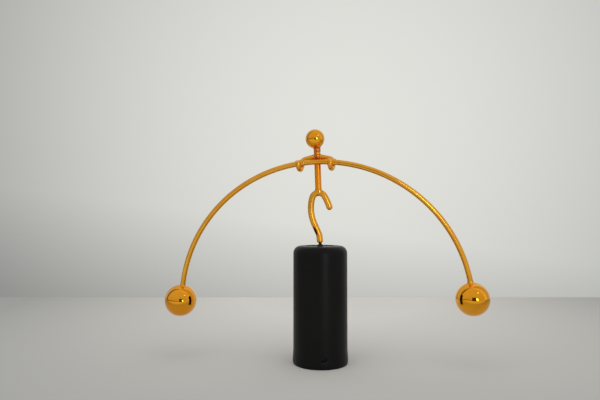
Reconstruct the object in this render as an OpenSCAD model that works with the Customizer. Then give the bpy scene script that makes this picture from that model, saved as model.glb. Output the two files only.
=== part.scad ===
// Balance figurine: a gilt wire man stands on one toe on a black base and holds a long bowed pole
// with a heavy ball on each end. The balls hang below the toe, so he rocks and turns but never falls.
// Millimetres, +Z up, origin at the middle of the base's underside, front towards -Y.
// Left and right are as seen from the front.

/* [Base] */
// Diameter of the black base
base_d = 30.5; // [26:0.5:40]
// Height of the base
base_h = 65.5; // [50:0.5:90]
// Thickness of the base's side wall
side_wall = 2; // [1.6:0.1:2.6]
// Thickness of the base's top
top_wall = 3; // [2.4:0.1:5]
// Radius of the rounded top edge
edge_r = 4; // [2.5:0.1:5]
// Diameter of the shallow dish in the top
dish_d = 16; // [10:0.5:17]
// Depth of the dish
dish_depth = 0.35; // [0.2:0.05:0.8]
// How far the foot stands out beyond the side
foot_flare = 0.4; // [0.1:0.05:0.8]
// Height at which the foot is widest
foot_widest_z = 1.6; // [1:0.1:3]
// Height of the flared foot
foot_h = 8; // [7.5:0.5:10]
// Thickness of the three ribs inside the base
rib_t = 1.4; // [1:0.1:2]
// Depth of the ribs, from the side wall inwards
rib_depth = 3; // [2:0.1:4]

/* [Window and plug] */
// Width of the window low on the front
window_w = 3.5; // [3:0.1:4.5]
// Height of the window
window_h = 2.7; // [2:0.1:3.4]
// Height of the window's middle above the underside
window_z = 5.65; // [5:0.05:7]
// Turn of the window from the front towards the right, in degrees
window_turn = 12; // [-30:1:30]
// Thickness of the plug's disc
cap_t = 2.2; // [1.6:0.1:3]
// Height of the ring that stands on the disc
cap_ring_h = 5.8; // [5.2:0.1:8]
// Wall of the ring
cap_ring_wall = 1.6; // [1.2:0.1:2]
// Width of the springy tongue with the snap lug
tongue_w = 5.5; // [5:0.1:7]
// Width of the slots beside the tongue
slot_w = 1; // [0.6:0.1:1.5]
// How far the snap lug reaches into the window
lug_reach = 0.8; // [0.4:0.1:1.4]
// Thickness of the foot pad
pad_t = 0.8; // [0.5:0.1:1.5]
// Margin between the pad and the sleeve
pad_margin = 0.6; // [0.3:0.1:2]
// Height of the steel ballast slug
slug_h = 20; // [10:1:30]
// Bevel on the slug's edges
slug_bevel = 0.8; // [0.4:0.1:1.5]

/* [Pivot] */
// Height of the pivot, the middle of the toe ball, above the base's top
pivot_rise = 1.5; // [1.3:0.05:1.9]
// Diameter of the steel ball in the toe
toe_ball_d = 1.8; // [1.7:0.05:2]
// Angle between the cup's wall and its axis, in degrees
cup_angle = 72; // [70:0.5:74]
// Radius of the cup's mouth
cup_mouth_r = 1.3; // [1.2:0.05:1.5]
// Radius of the cup's foot, on the dish's floor
cup_foot_r = 2.1; // [1.8:0.05:2.6]
// Diameter of the cup's stem
stem_d = 2.4; // [1.8:0.1:3]
// Length of the stem
stem_h = 2; // [1.4:0.1:2]

/* [Legs and spine] */
// Diameter of the leg wire and the spine
wire_d = 3.6; // [3:0.1:4.4]
// Radius of the toe's end face
toe_end_r = 1.25; // [1.1:0.05:1.4]
// Height of the toe's end face above the pivot
toe_end_z = 0.45; // [0.35:0.05:0.5]
// Height above the pivot at which the toe reaches the full wire
toe_full_z = 1; // [0.8:0.05:1.4]
// Length of the straight toe above the pivot
toe_h = 4.2; // [2:0.1:6]
// Lean of the toe to the left, in degrees
toe_lean = 4.5; // [0:0.5:10]
// Lean of the shin to the left, in degrees
shin_lean = 22.3; // [15:0.1:30]
// Radius of the bend between the toe and the shin
ankle_r = 3; // [2.5:0.5:10]
// Length of the straight shin
shin_h = 6.5; // [4:0.1:10]
// Radius of the knee's bend
knee_r = 22; // [14:0.5:30]
// Lean of the thigh to the right where the hip begins, in degrees
thigh_lean = 17; // [10:0.5:25]
// Radius of the hip's arch
hip_r = 3.8; // [3.2:0.1:4.8]
// Slant of the raised leg from straight down where the hip ends, in degrees
raised_slant = 30; // [20:0.5:40]
// Slant of the raised leg at its end
raised_end_slant = 15; // [5:0.5:18]
// Radius of the raised leg's slight bend
raised_r = 26; // [15:0.5:40]
// How far the toe stands in front of the hip
toe_forward = 1.5; // [0:0.05:3]
// Height of the straight spine, from the hip's middle line to its end in the head
spine_h = 27.5; // [24:0.5:34]

/* [Head and arms] */
// Diameter of the head
head_d = 10.7; // [8:0.1:13]
// How far the spine reaches into the head
head_grip = 2.4; // [1.5:0.1:4]
// Offset of the head's middle to the right of the spine
head_shift = -0.9; // [-1.5:0.05:1.5]
// Diameter of the arm wires
arm_d = 2.8; // [2:0.1:3.2]
// Reach of the hands from the spine
arm_reach = 8.8; // [7:0.1:12]
// Radius of the bend from the arm down into the hand
wrist_r = 2.5; // [2:0.1:3.5]
// Droop of the arms, in degrees
arm_droop = 14; // [0:0.5:18]
// Height of the hooked finger's straight end above the pole's middle line
finger_h = 0.4; // [0.1:0.1:1]
// Turn of the hooked hands, which brings both fingers to the left in front of the pole, in degrees
hook_turn = 13; // [0:1:20]

/* [Pole and balls] */
// Diameter of the pole
pole_d = 3; // [2.4:0.1:3.8]
// Radius of the pole's curve
pole_r = 82.9; // [60:0.5:110]
// Height of the pole's middle line above the pivot
pole_top = 46.05; // [42:0.05:50]
// Offset of the pole's middle to the right of the pivot
pole_shift = 0.2; // [-1:0.05:1]
// Angle from the pole's middle to the balls, in degrees
pole_half_angle = 86.8; // [80:0.1:92]
// Diameter of the balls
ball_d = 18.4; // [14:0.1:24]
// How far the pole reaches into each ball
ball_grip = 6; // [3:0.5:8]
// How far the left ball's middle lies outside the pole's middle line
left_ball_out = 0.9; // [0:0.1:1.2]

/* [Brazed joints] */
// Reach of the fillets on the balls, along and across the pole
ball_fillet = 0.9; // [0.6:0.1:1.6]
// Reach of the fillets at the hip and under the head
wire_fillet = 0.9; // [0.6:0.1:1.4]
// Thickness of the filler metal where it thins out
braze_edge = 0.15; // [0.1:0.05:0.3]
// Thickness of the lump round the spine at the shoulders
shoulder_braze_t = 0.5; // [0.3:0.05:0.8]
// Height of the lump at the shoulders above the arms' middle line
shoulder_braze_h = 2.1; // [1.5:0.1:2.2]
// Thickness of the filler metal between a hand and the pole
hand_braze_t = 0.5; // [0.2:0.05:0.7]
// Width of the filler metal between a hand and the pole
hand_braze_w = 4.6; // [3.4:0.1:5.5]

/* [Clearances] */
// Gap round the stem in its bore, and round the toe ball in the cup and the toe
running_gap = 0.05; // [0.03:0.01:0.08]
// Gap round pieces that are pushed into each other
push_gap = 0.05; // [0.03:0.01:0.1]
// Gap round the slug and beside the snap lug
loose_gap = 0.15; // [0.1:0.05:0.3]
// Gap between neighbouring wires, filled when they are brazed
braze_gap = 0.03; // [0.02:0.01:0.06]

/* [Hidden] */
$fn = 200;

// Cuts run past the faces that they go through by this much
past = 0.5;
// The balls that join a wire's straights and bends stand out this far
bead = 0.01;
// Fillets run on below the surface that they rise from by this many times their reach
fillet_skirt = 2;
// Each step of the leg's path is weighed in this many slices
slices = 4;
gold = [0.85, 0.6, 0.12];
braze = [0.68, 0.4, 0.12];
black = [0.09, 0.09, 0.09];
steel = [0.55, 0.56, 0.58];

// Base
base_r = base_d / 2;
bore_r = base_r - side_wall;
cap_z = pad_t;
ring_z = cap_z + cap_t;
slug_z = ring_z + cap_ring_h;
cavity_top = base_h - top_wall;
pivot_z = base_h + pivot_rise;
dish_z = base_h - dish_depth;

// Heights and radii of the cup, measured from the pivot
cup_floor = -(toe_ball_d / 2 + running_gap) / sin(cup_angle);
cup_mouth = cup_floor + cup_mouth_r / tan(cup_angle);
cup_foot = dish_z - pivot_z;

// A wire's path is a list of steps. [length, 0] runs straight on, and [radius, turn] bends by turn
// degrees, to the left if turn is above 0. A third number rolls the wire about its own line after
// the step, so that the next bend lies in another plane. A place on a flat path is [x, z, heading],
// with the heading in degrees from straight up, to the left.
function step_length(step) = step[1] == 0 ? step[0] : step[0] * abs(step[1]) * PI / 180;
function part_of(step, share) = step[1] == 0 ? [step[0] * share, 0] : [step[0], step[1] * share];
function straight_on(place, length) =
    [place[0] - length * sin(place[2]), place[1] + length * cos(place[2]), place[2]];
function round_bend(place, r, turn) =
    [
        place[0] + r * sign(turn) * (cos(place[2] + turn) - cos(place[2])),
        place[1] + r * sign(turn) * (sin(place[2] + turn) - sin(place[2])),
        place[2] + turn
    ];
function after(place, step) =
    step[1] == 0 ? straight_on(place, step[0]) : round_bend(place, step[0], step[1]);
function walk(path, place, i = 0) =
    i == len(path) ? place : walk(path, after(place, path[i]), i + 1);

// Legs, from the toe up to the top of the hip and down the raised leg
ankle = [ankle_r, shin_lean - toe_lean];
shin = [shin_h, 0];
knee = [knee_r, -shin_lean - thigh_lean];
hip_rise = [hip_r, thigh_lean - 90];
hip_fall = [hip_r, raised_slant - 90];
raised_leg = [raised_r, raised_end_slant - raised_slant];
rising_leg = [ankle, shin, knee, hip_rise];
leg_path = concat(rising_leg, [hip_fall, raised_leg]);
toe_tip = [0, 0, toe_lean];
leg_start = straight_on(toe_tip, toe_h);
hip_top = walk(rising_leg, leg_start);
leg_tilt = asin(toe_forward / hip_top[1]);
hip = [hip_top[0], toe_forward, hip_top[1] * cos(leg_tilt)];

// Spine and head, in the figure's own frame, whose origin is the pivot. The spine and the arms start
// at wire_root from the middle line of the wire that they are brazed to.
wire_root = wire_d / 4;
spine_z = hip[2] + wire_root;
spine_end = hip[2] + spine_h;
head_floor = spine_end - head_grip;
head = [hip[0] + head_shift, hip[1], head_floor + sqrt(pow(head_d / 2, 2) - pow(head_shift, 2))];

// Pole and balls
pole_y = hip[1] - (wire_d + pole_d) / 2 - braze_gap;
pole_centre = [pole_shift, pole_y, pole_top - pole_r];
function pole_angle(length) = length / pole_r * 180 / PI;
function on_pole(angle, r) = pole_centre + [r * sin(angle), 0, r * cos(angle)];
pole_end_angle = pole_half_angle - pole_angle(ball_d / 2 - ball_grip);
hole_end_angle = pole_end_angle + pole_angle(push_gap);
left_ball_centre = on_pole(-pole_half_angle, pole_r) - [left_ball_out, 0, 0];
right_ball_centre = on_pole(pole_half_angle, pole_r);

// Arms: straight out, bent down, then hooked under the pole towards the front
hook_r = (arm_d + pole_d) / 2 / cos(hook_turn) + 2 * running_gap;
hook_shift = hook_r * sin(hook_turn);
hand_angle = asin((arm_reach - pole_shift + hip[0]) / pole_r);
hand_z = on_pole(hand_angle, pole_r)[2] - finger_h;
arm_y = pole_y + hook_r * cos(hook_turn);
arm_run = (arm_reach - wire_root - wrist_r * (1 - sin(arm_droop))) / cos(arm_droop);
arm_z = hand_z + arm_run * sin(arm_droop) + wrist_r * cos(arm_droop);
function arm_path(side) =
    [[arm_run, 0], [wrist_r, arm_droop - 90, 90 + side * hook_turn], [hook_r, 180], [finger_h, 0]];

// Balance: each piece's volume and middle, which give the figure's centre of mass and the nod and
// lean at which that hangs straight below the pivot
function sum(list, i = 0) = i == len(list) - 1 ? list[i] : list[i] + sum(list, i + 1);
function wire_volume(length, d) = length * PI * pow(d / 2, 2);
function ball_volume(d) = 4 / 3 * PI * pow(d / 2, 3);
function in_leg(place) =
    [place[0], place[1] * sin(leg_tilt), place[1] * cos(leg_tilt)];
function leg_pieces(path, place, i = 0) =
    i == len(path)
        ? []
        : concat(
            [
                for (slice = [1 : slices])
                [
                    wire_volume(step_length(path[i]) / slices, wire_d),
                    in_leg(after(place, part_of(path[i], (slice - 0.5) / slices)))
                ]
            ],
            leg_pieces(path, after(place, path[i]), i + 1)
        );
free_pole_angle = pole_half_angle - pole_angle(ball_d / 2);
free_pole_arc = free_pole_angle * PI / 180;
quarter_mean = 2 / PI;
figure_pieces = concat(
    leg_pieces(leg_path, leg_start),
    [
        [wire_volume(spine_end - spine_z, wire_d), [hip[0], hip[1], (spine_end + spine_z) / 2]],
        [ball_volume(head_d), head],
        [ball_volume(ball_d), left_ball_centre],
        [ball_volume(ball_d), right_ball_centre],
        [
            wire_volume(2 * free_pole_arc * pole_r, pole_d),
            pole_centre + [0, 0, pole_r * sin(free_pole_angle) / free_pole_arc]
        ],
        [wire_volume(toe_h, wire_d), in_leg(straight_on(toe_tip, toe_h / 2))],
        [wire_volume(2 * arm_run, arm_d), [hip[0], arm_y, arm_z - arm_run / 2 * sin(arm_droop)]],
        [
            wire_volume(PI * wrist_r, arm_d),
            [hip[0], arm_y, hand_z + wrist_r * quarter_mean]
        ],
        [
            wire_volume(2 * PI * hook_r, arm_d),
            [hip[0] - hook_shift, pole_y, hand_z - hook_r * quarter_mean]
        ]
    ]
);
figure_volume = sum([for (piece = figure_pieces) piece[0]]);
mass_centre = sum([for (piece = figure_pieces) piece[0] * piece[1]]) / figure_volume;
rest_nod = atan2(-mass_centre[1], -mass_centre[2]);
rest_lean = atan2(mass_centre[0], norm([mass_centre[1], mass_centre[2]]));

// Ball with its poles in front and behind, clear of the rods that enter it
module ball(d) {
    rotate([90, 0, 0]) sphere(d = d);
}

// Wire along a path, starting at the origin and heading along +Y, with its bends in the XY plane.
// A ball joins each step to the next and rounds off the end.
module wire(path, d, i = 0) {
    ball(d + 2 * bead);
    if (i < len(path)) {
        run = path[i][0];
        turn = path[i][1];
        roll = len(path[i]) > 2 ? path[i][2] : 0;
        if (turn == 0) {
            rotate([-90, 0, 0]) cylinder(h = run, d = d);
            translate([0, run, 0]) rotate([0, roll, 0]) wire(path, d, i + 1);
        } else {
            middle = [-run * sign(turn), 0, 0];
            translate(middle) rotate([0, 0, turn > 0 ? 0 : 180 + turn]) wire_bend(run, abs(turn), d);
            translate(middle) rotate([0, 0, turn]) translate(-middle) rotate([0, roll, 0])
                wire(path, d, i + 1);
        }
    }
}

module wire_bend(r, turn, d) {
    rotate_extrude(angle = turn) translate([r, 0]) circle(d = d);
}

// Stretch of the pole between two angles, measured from its middle to the right
module pole_part(from, to, d) {
    translate(pole_centre) rotate([90, 0, 0]) rotate([0, 0, 90 - to]) wire_bend(pole_r, to - from, d);
}

// Puts a shape that is drawn round the pole's middle line, along +Z, at an angle on the pole
module at_pole(angle) {
    translate(on_pole(angle, pole_r)) rotate([0, angle + 90, 0]) children();
}

// Turns the figure's own frame to the pose in which it rests on the cup
module standing() {
    translate([0, 0, pivot_z]) rotate([rest_nod, rest_lean, 0]) children();
}

// Section of a fillet round a rod: full at the bottom, thinned to the braze's edge at the top
module fillet_outline(d, reach) {
    inner = d / 2 + braze_gap;
    difference() {
        translate([inner, -fillet_skirt * reach]) square([reach + braze_edge, (fillet_skirt + 1) * reach]);
        translate([inner + reach + braze_edge, reach]) circle(r = reach);
    }
}

// Base
module sleeve_outline() {
    polygon([
        [0, 0],
        [base_r, 0],
        [base_r + foot_flare, foot_widest_z],
        [base_r, foot_h],
        [base_r, base_h - edge_r],
        [base_r - edge_r, base_h - edge_r],
        [base_r - edge_r, base_h],
        [0, base_h]
    ]);
    translate([base_r - edge_r, base_h - edge_r]) intersection() {
        circle(r = edge_r);
        square(edge_r);
    }
}

module window_outline(gap) {
    w = window_w / 2 - gap;
    h = window_h / 2 - gap;
    polygon([[-w, -h], [w / 2, -h], [w, 0], [w / 2, h], [-w, h]]);
}

module window_prism(gap, from_r, to_r) {
    rotate([0, 0, window_turn]) translate([0, -from_r, window_z]) rotate([90, 0, 0])
        linear_extrude(to_r - from_r) window_outline(gap);
}

module inner_ribs() {
    for (turn = [0 : 120 : 240])
        rotate([0, 0, window_turn + 90 + turn])
            translate([bore_r - rib_depth, -rib_t / 2, slug_z + slug_h])
                cube([rib_depth + side_wall / 2, rib_t, cavity_top - slug_z - slug_h + top_wall / 2]);
}

module base_sleeve() {
    color(black) difference() {
        union() {
            difference() {
                rotate_extrude() sleeve_outline();
                translate([0, 0, -past]) cylinder(h = cavity_top + past, r = bore_r);
            }
            inner_ribs();
        }
        translate([0, 0, dish_z]) cylinder(h = dish_depth + past, d = dish_d);
        translate([0, 0, cavity_top - past]) cylinder(h = top_wall + 2 * past, r = stem_d / 2 + running_gap);
        window_prism(0, bore_r - past, base_r + foot_flare + past);
    }
}

module base_cap() {
    ring_r = bore_r - push_gap;
    color(black) {
        difference() {
            translate([0, 0, cap_z]) cylinder(h = cap_t + cap_ring_h, r = ring_r);
            translate([0, 0, ring_z]) cylinder(h = cap_ring_h + past, r = ring_r - cap_ring_wall);
            for (side = [-1, 1])
                rotate([0, 0, window_turn])
                    translate([side * (tongue_w + slot_w) / 2 - slot_w / 2, -ring_r - past, ring_z])
                        cube([slot_w, cap_ring_wall + 2 * past, cap_ring_h + past]);
        }
        window_prism(loose_gap, ring_r - cap_ring_wall / 2, bore_r + lug_reach);
    }
}

module ballast_slug() {
    slug_r = bore_r - loose_gap;
    color(steel) translate([0, 0, slug_z]) rotate_extrude() polygon([
        [0, 0],
        [slug_r - slug_bevel, 0],
        [slug_r, slug_bevel],
        [slug_r, slug_h - slug_bevel],
        [slug_r - slug_bevel, slug_h],
        [0, slug_h]
    ]);
}

module foot_pad() {
    color(black) cylinder(h = pad_t, r = bore_r - pad_margin);
}

// Pivot
module pivot_cup() {
    color(black) translate([0, 0, pivot_z]) rotate_extrude() polygon([
        [0, cup_floor],
        [cup_mouth_r, cup_mouth],
        [cup_foot_r, cup_foot],
        [stem_d / 2, cup_foot],
        [stem_d / 2, cup_foot - stem_h],
        [0, cup_foot - stem_h]
    ]);
}

module toe_point() {
    color(steel) translate([0, 0, pivot_z]) sphere(d = toe_ball_d);
}

// Figure
module leg_shape(d) {
    rotate([90 - leg_tilt, 0, 0]) translate([leg_start[0], leg_start[1], 0]) rotate([0, 0, toe_lean])
        wire(leg_path, d);
}

module hip_shape(d) {
    rotate([90 - leg_tilt, 0, 0]) translate([hip_top[0], hip_top[1] - hip_r, 0])
        rotate([0, 0, raised_slant]) wire_bend(hip_r, 180 - raised_slant - thigh_lean, d);
}

module toe_shape() {
    rotate([-leg_tilt, -toe_lean, 0]) rotate_extrude() polygon([
        [0, toe_end_z],
        [toe_end_r, toe_end_z],
        [wire_d / 2, toe_full_z],
        [wire_d / 2, toe_h],
        [0, toe_h]
    ]);
}

module leg_wire() {
    color(gold) standing() difference() {
        union() {
            leg_shape(wire_d);
            toe_shape();
        }
        sphere(r = toe_ball_d / 2 + running_gap);
    }
}

module spine_shape(d) {
    translate([hip[0], hip[1], spine_z]) cylinder(h = spine_end - spine_z, d = d);
}

module spine_rod() {
    color(gold) standing() difference() {
        spine_shape(wire_d);
        hip_shape(wire_d + 2 * braze_gap);
    }
}

module head_ball() {
    color(gold) standing() difference() {
        translate(head) ball(head_d);
        translate([hip[0], hip[1], head_floor - head_d])
            cylinder(h = head_grip + head_d + push_gap, r = wire_d / 2 + push_gap);
    }
}

// Arm to one side of the spine, 1 for the right and -1 for the left
module arm_shape(side, d) {
    translate([hip[0], arm_y, arm_z]) mirror([side < 0 ? 1 : 0, 0, 0]) rotate([90, 0, 0])
        translate([wire_root, 0, 0]) rotate([0, 0, -90 - arm_droop]) wire(arm_path(side), d);
}

module arm(side) {
    color(gold) standing() difference() {
        arm_shape(side, arm_d);
        translate([hip[0], hip[1], arm_z - arm_d])
            cylinder(h = 2 * arm_d, r = wire_d / 2 + braze_gap);
    }
}

module bow_rod() {
    color(gold) standing() pole_part(-pole_end_angle, pole_end_angle, pole_d);
}

module pole_ball(centre, from, to) {
    color(gold) standing() difference() {
        translate(centre) ball(ball_d);
        pole_part(from, to, pole_d + 2 * push_gap);
    }
}

// Brazed joints
module hip_braze() {
    width = wire_d + 2 * (braze_gap + braze_edge);
    length = width + 2 * wire_fillet;
    color(braze) standing() difference() {
        translate([hip[0], hip[1], hip[2] + wire_d / 2]) intersection() {
            rotate_extrude() fillet_outline(wire_d, wire_fillet);
            cube([length, width, 2 * (fillet_skirt + 1) * wire_fillet], center = true);
        }
        hip_shape(wire_d + 2 * (bead + braze_gap));
    }
}

module neck_braze() {
    neck_z = arm_z + shoulder_braze_h + braze_gap;
    color(braze) standing() difference() {
        translate([hip[0], hip[1], head_floor]) mirror([0, 0, 1]) rotate_extrude() {
            fillet_outline(wire_d, wire_fillet);
            translate([wire_d / 2 + braze_gap, 0])
                square([braze_edge - braze_gap, head_floor - neck_z]);
        }
        translate(head) ball(head_d + 2 * braze_gap);
    }
}

module shoulder_braze() {
    lump_r = wire_d / 2 + shoulder_braze_t;
    half = pole_angle(2 * lump_r);
    color(braze) standing() difference() {
        translate([hip[0], hip[1], arm_z - shoulder_braze_h]) cylinder(h = 2 * shoulder_braze_h, r = lump_r);
        spine_shape(wire_d + 2 * braze_gap);
        pole_part(-half, half, pole_d + 2 * braze_gap);
        for (side = [-1, 1])
            arm_shape(side, arm_d + 2 * braze_gap);
    }
}

module ball_braze(centre, side) {
    color(braze) standing() difference() {
        at_pole(side * free_pole_angle) rotate([side > 0 ? 180 : 0, 0, 0])
            rotate_extrude() fillet_outline(pole_d, ball_fillet);
        translate(centre) ball(ball_d + 2 * braze_gap);
    }
}

module hand_braze(side) {
    half = pole_angle(hand_braze_w / 2);
    middle = asin((side * arm_reach + hip[0] - hook_shift - pole_shift) / pole_r);
    color(braze) standing() difference() {
        pole_part(middle - half, middle + half, pole_d + 2 * hand_braze_t);
        pole_part(middle - 2 * half, middle + 2 * half, pole_d + 2 * braze_gap);
        arm_shape(side, arm_d);
    }
}

base_sleeve();
base_cap();
ballast_slug();
foot_pad();
pivot_cup();
toe_point();
leg_wire();
spine_rod();
arm(-1);  // left_arm
arm(1);  // right_arm
bow_rod();
pole_ball(left_ball_centre, -hole_end_angle, 0);  // left_ball
pole_ball(right_ball_centre, 0, hole_end_angle);  // right_ball
head_ball();
hip_braze();
shoulder_braze();
neck_braze();
ball_braze(left_ball_centre, -1);  // left_ball_braze
ball_braze(right_ball_centre, 1);  // right_ball_braze
hand_braze(-1);  // left_hand_braze
hand_braze(1);  // right_hand_braze
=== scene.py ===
"""Looks of the balance figurine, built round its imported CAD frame.

A gilt wire man stands on one toe in a small cup on a black base, and holds a long bowed pole
with a heavy ball at each end. Sizes are in millimetres, as on the part's drawing, and a mesh
goes to metres when it is finished. Left and right are as seen from the front, which is -Y.
"""

from __future__ import annotations

import logging
import math
from collections.abc import Callable
from dataclasses import dataclass, field
from enum import Enum

import bmesh
import bpy
from bmesh.types import BMEdge, BMesh, BMFace, BMVert
from bpy.types import Material, Node, NodeSocket, NodeTree, Object
from mathutils import Matrix, Vector, noise

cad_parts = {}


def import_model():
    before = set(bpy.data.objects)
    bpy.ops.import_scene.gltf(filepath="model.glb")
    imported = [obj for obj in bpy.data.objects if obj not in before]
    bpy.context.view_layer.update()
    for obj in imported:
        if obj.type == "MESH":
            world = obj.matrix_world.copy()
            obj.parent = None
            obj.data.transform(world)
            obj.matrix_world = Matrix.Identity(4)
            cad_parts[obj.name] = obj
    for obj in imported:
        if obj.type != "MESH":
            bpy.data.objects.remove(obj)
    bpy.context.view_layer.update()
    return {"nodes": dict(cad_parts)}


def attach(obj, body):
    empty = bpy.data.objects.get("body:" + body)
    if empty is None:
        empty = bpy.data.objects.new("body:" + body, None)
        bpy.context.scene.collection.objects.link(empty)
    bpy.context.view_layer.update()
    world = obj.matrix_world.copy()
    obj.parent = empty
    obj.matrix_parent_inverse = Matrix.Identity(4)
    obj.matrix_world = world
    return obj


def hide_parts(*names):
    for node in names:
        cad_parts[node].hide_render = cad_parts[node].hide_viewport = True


log = logging.getLogger("balance_figurine")

# Metres in a millimetre, and the change from one to the other
MM = 0.001
TO_METRES = Matrix.Scale(MM, 4)
# Facets round a wire, and the angle from which an edge stays sharp
SIDES = 48
SMOOTH_ANGLE = math.radians(38)
# A gap too small to see, and the distance within which two vertices are one
HAIR = 0.02
WELD = 0.0001

Colour = tuple[float, float, float]
Way = tuple[float, float, float]
Span = tuple[float, float]
Feed = NodeSocket | float | Way


class Body(Enum):
    """CAD body that a new piece rides on."""

    BASE = "base"
    FIGURE = "figure"


class Look(Enum):
    """Finish of a piece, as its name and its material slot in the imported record."""

    SHELL = ("satin_black_moulding", "black_shell")
    PLUG = ("dull_black_plug", "black_plug")
    CUP = ("black_cup", "cup")
    PAD = ("foam_rubber", "pad")
    STEEL = ("turned_steel", "steel")
    # Darker copy of the turned steel, as painted shade on the toe deep in its cup
    TOE = ("dark_toe_steel", "steel")
    BALL = ("polished_gold_plate", "gilt")
    WIRE = ("gold_plate_on_wire", "gilt")
    LEG = ("gold_plate_on_leg", "gilt")
    SPINE = ("warm_plate_on_spine", "gilt")
    COLLAR = ("gold_plate_on_collar", "braze")
    BRAZE = ("red_gold_on_filler", "braze")

    @property
    def label(self) -> str:
        """Name of the finish's material."""
        return self.value[0]

    @property
    def slot(self) -> str:
        """The record's material slot."""
        return self.value[1]


class Side(Enum):
    """Side of the figure, as seen from the front."""

    LEFT = -1
    RIGHT = 1

    @property
    def word(self) -> str:
        """The side's name in lower case, as in the CAD node names."""
        return self.name.lower()


def turned(degrees: float, axis: str) -> Matrix:
    """Matrix of a turn in degrees about the axis named X, Y or Z."""
    return Matrix.Rotation(math.radians(degrees), 4, axis)


def moved(x: float, y: float, z: float) -> Matrix:
    """Matrix of a move."""
    return Matrix.Translation((x, y, z))


# Short ways to use Blender's mesh operators


def verts_in(geom: list[BMVert | BMEdge | BMFace]) -> list[BMVert]:
    """The vertices among what an operator gives back."""
    return [g for g in geom if isinstance(g, BMVert)]


def edges_in(geom: list[BMVert | BMEdge | BMFace]) -> list[BMEdge]:
    """The edges among what an operator gives back."""
    return [g for g in geom if isinstance(g, BMEdge)]


def verts_of(edges: list[BMEdge]) -> list[BMVert]:
    """The edges' vertices, each once, in a steady order."""
    return list(dict.fromkeys(v for e in edges for v in e.verts))


def rim_of(verts: list[BMVert]) -> list[BMEdge]:
    """The edges at the vertices, each once, in a steady order."""
    return list(dict.fromkeys(e for v in verts for e in v.link_edges))


def push_out(mesh: BMesh, rim: list[BMEdge], move: Vector) -> tuple[list[BMEdge], list[BMVert]]:
    """Draws a skin straight out from a rim.

    Args:
        mesh: Mesh to build in.
        rim: Edges of the rim.
        move: How far and which way.

    Returns:
        The edges and the vertices of the new rim.
    """
    made = bmesh.ops.extrude_edge_only(mesh, edges=rim)["geom"]
    verts = verts_in(made)
    bmesh.ops.translate(mesh, verts=verts, vec=move)
    return edges_in(made), verts


def sweep(
    mesh: BMesh,
    rim: list[BMEdge],
    centre: Vector,
    axis: Vector,
    degrees: float,
    steps: int,
    closed: bool = False,
) -> list[BMEdge]:
    """Turns a rim about an axis into a skin.

    Args:
        mesh: Mesh to build in.
        rim: Edges of the rim.
        centre: Point on the axis.
        axis: Direction of the axis.
        degrees: Angle of the turn.
        steps: Number of facets along the turn.
        closed: True where the end of the skin meets its start.

    Returns:
        The edges of the new rim.
    """
    made = bmesh.ops.spin(
        mesh,
        geom=rim + verts_of(rim),
        cent=centre,
        axis=axis,
        dvec=(0, 0, 0),
        angle=math.radians(degrees),
        steps=steps,
        use_merge=closed,
        use_normal_flip=False,
        use_duplicate=False,
    )
    return edges_in(made["geom_last"])


def round_edges(mesh: BMesh, edges: list[BMEdge], size: float, segments: int) -> None:
    """Rounds edges.

    Args:
        mesh: Mesh with the edges.
        edges: The edges.
        size: Width of the rounding on each face.
        segments: Number of facets across the rounding.
    """
    bmesh.ops.bevel(
        mesh,
        geom=edges,
        offset=size,
        offset_type="OFFSET",
        affect="EDGES",
        segments=segments,
        profile=0.5,
        material=-1,
    )


def to_object(name: str, mesh: BMesh, place: Matrix, material: Material) -> Object:
    """Turns a bench mesh into an object in the scene, at the origin.

    Args:
        name: Name of the object.
        mesh: The mesh in millimetres, which is used up.
        place: From the mesh's own place to its place in the scene.
        material: Its material.

    Returns:
        The object.
    """
    bmesh.ops.transform(mesh, matrix=TO_METRES @ place, verts=mesh.verts[:])
    bmesh.ops.recalc_face_normals(mesh, faces=mesh.faces[:])
    data = bpy.data.meshes.new(name)
    mesh.to_mesh(data)
    mesh.free()
    data.materials.append(material)
    made = bpy.data.objects.new(name, data)
    bpy.context.scene.collection.objects.link(made)
    return made


# Bending wire


@dataclass(frozen=True)
class Straight:
    """Straight run of a wire."""

    length: float

    def move(self) -> Matrix:
        """Where the run ends, with the wire heading along +Y."""
        return moved(0, self.length, 0)


@dataclass(frozen=True)
class Bend:
    """Bend of a wire, to the left where turn is above 0, then a roll about its own line."""

    radius: float
    turn: float
    roll: float = 0.0

    def facets(self) -> int:
        """Number of facets along the bend: 4 or more, one in 4 degrees or more, one in a millimetre."""
        arc = self.radius * math.radians(abs(self.turn))
        return max(4, math.ceil(abs(self.turn) / 4), math.ceil(arc))

    def centre(self) -> Vector:
        """Middle of the bend, seen from where the bend starts."""
        return Vector((-math.copysign(self.radius, self.turn), 0, 0))

    def move(self) -> Matrix:
        """Where the bend ends, with the wire heading along +Y again."""
        middle = Matrix.Translation(self.centre())
        return middle @ turned(self.turn, "Z") @ middle.inverted() @ turned(self.roll, "Y")


Path = tuple[Straight | Bend, ...]


def end_of(path: Path, start: Matrix) -> Matrix:
    """Follows a wire's path without drawing it.

    Args:
        path: The wire's steps.
        start: Where the wire starts, heading along its own +Y.

    Returns:
        Where the wire ends.
    """
    place = start.copy()
    for step in path:
        place = place @ step.move()
    return place


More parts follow.
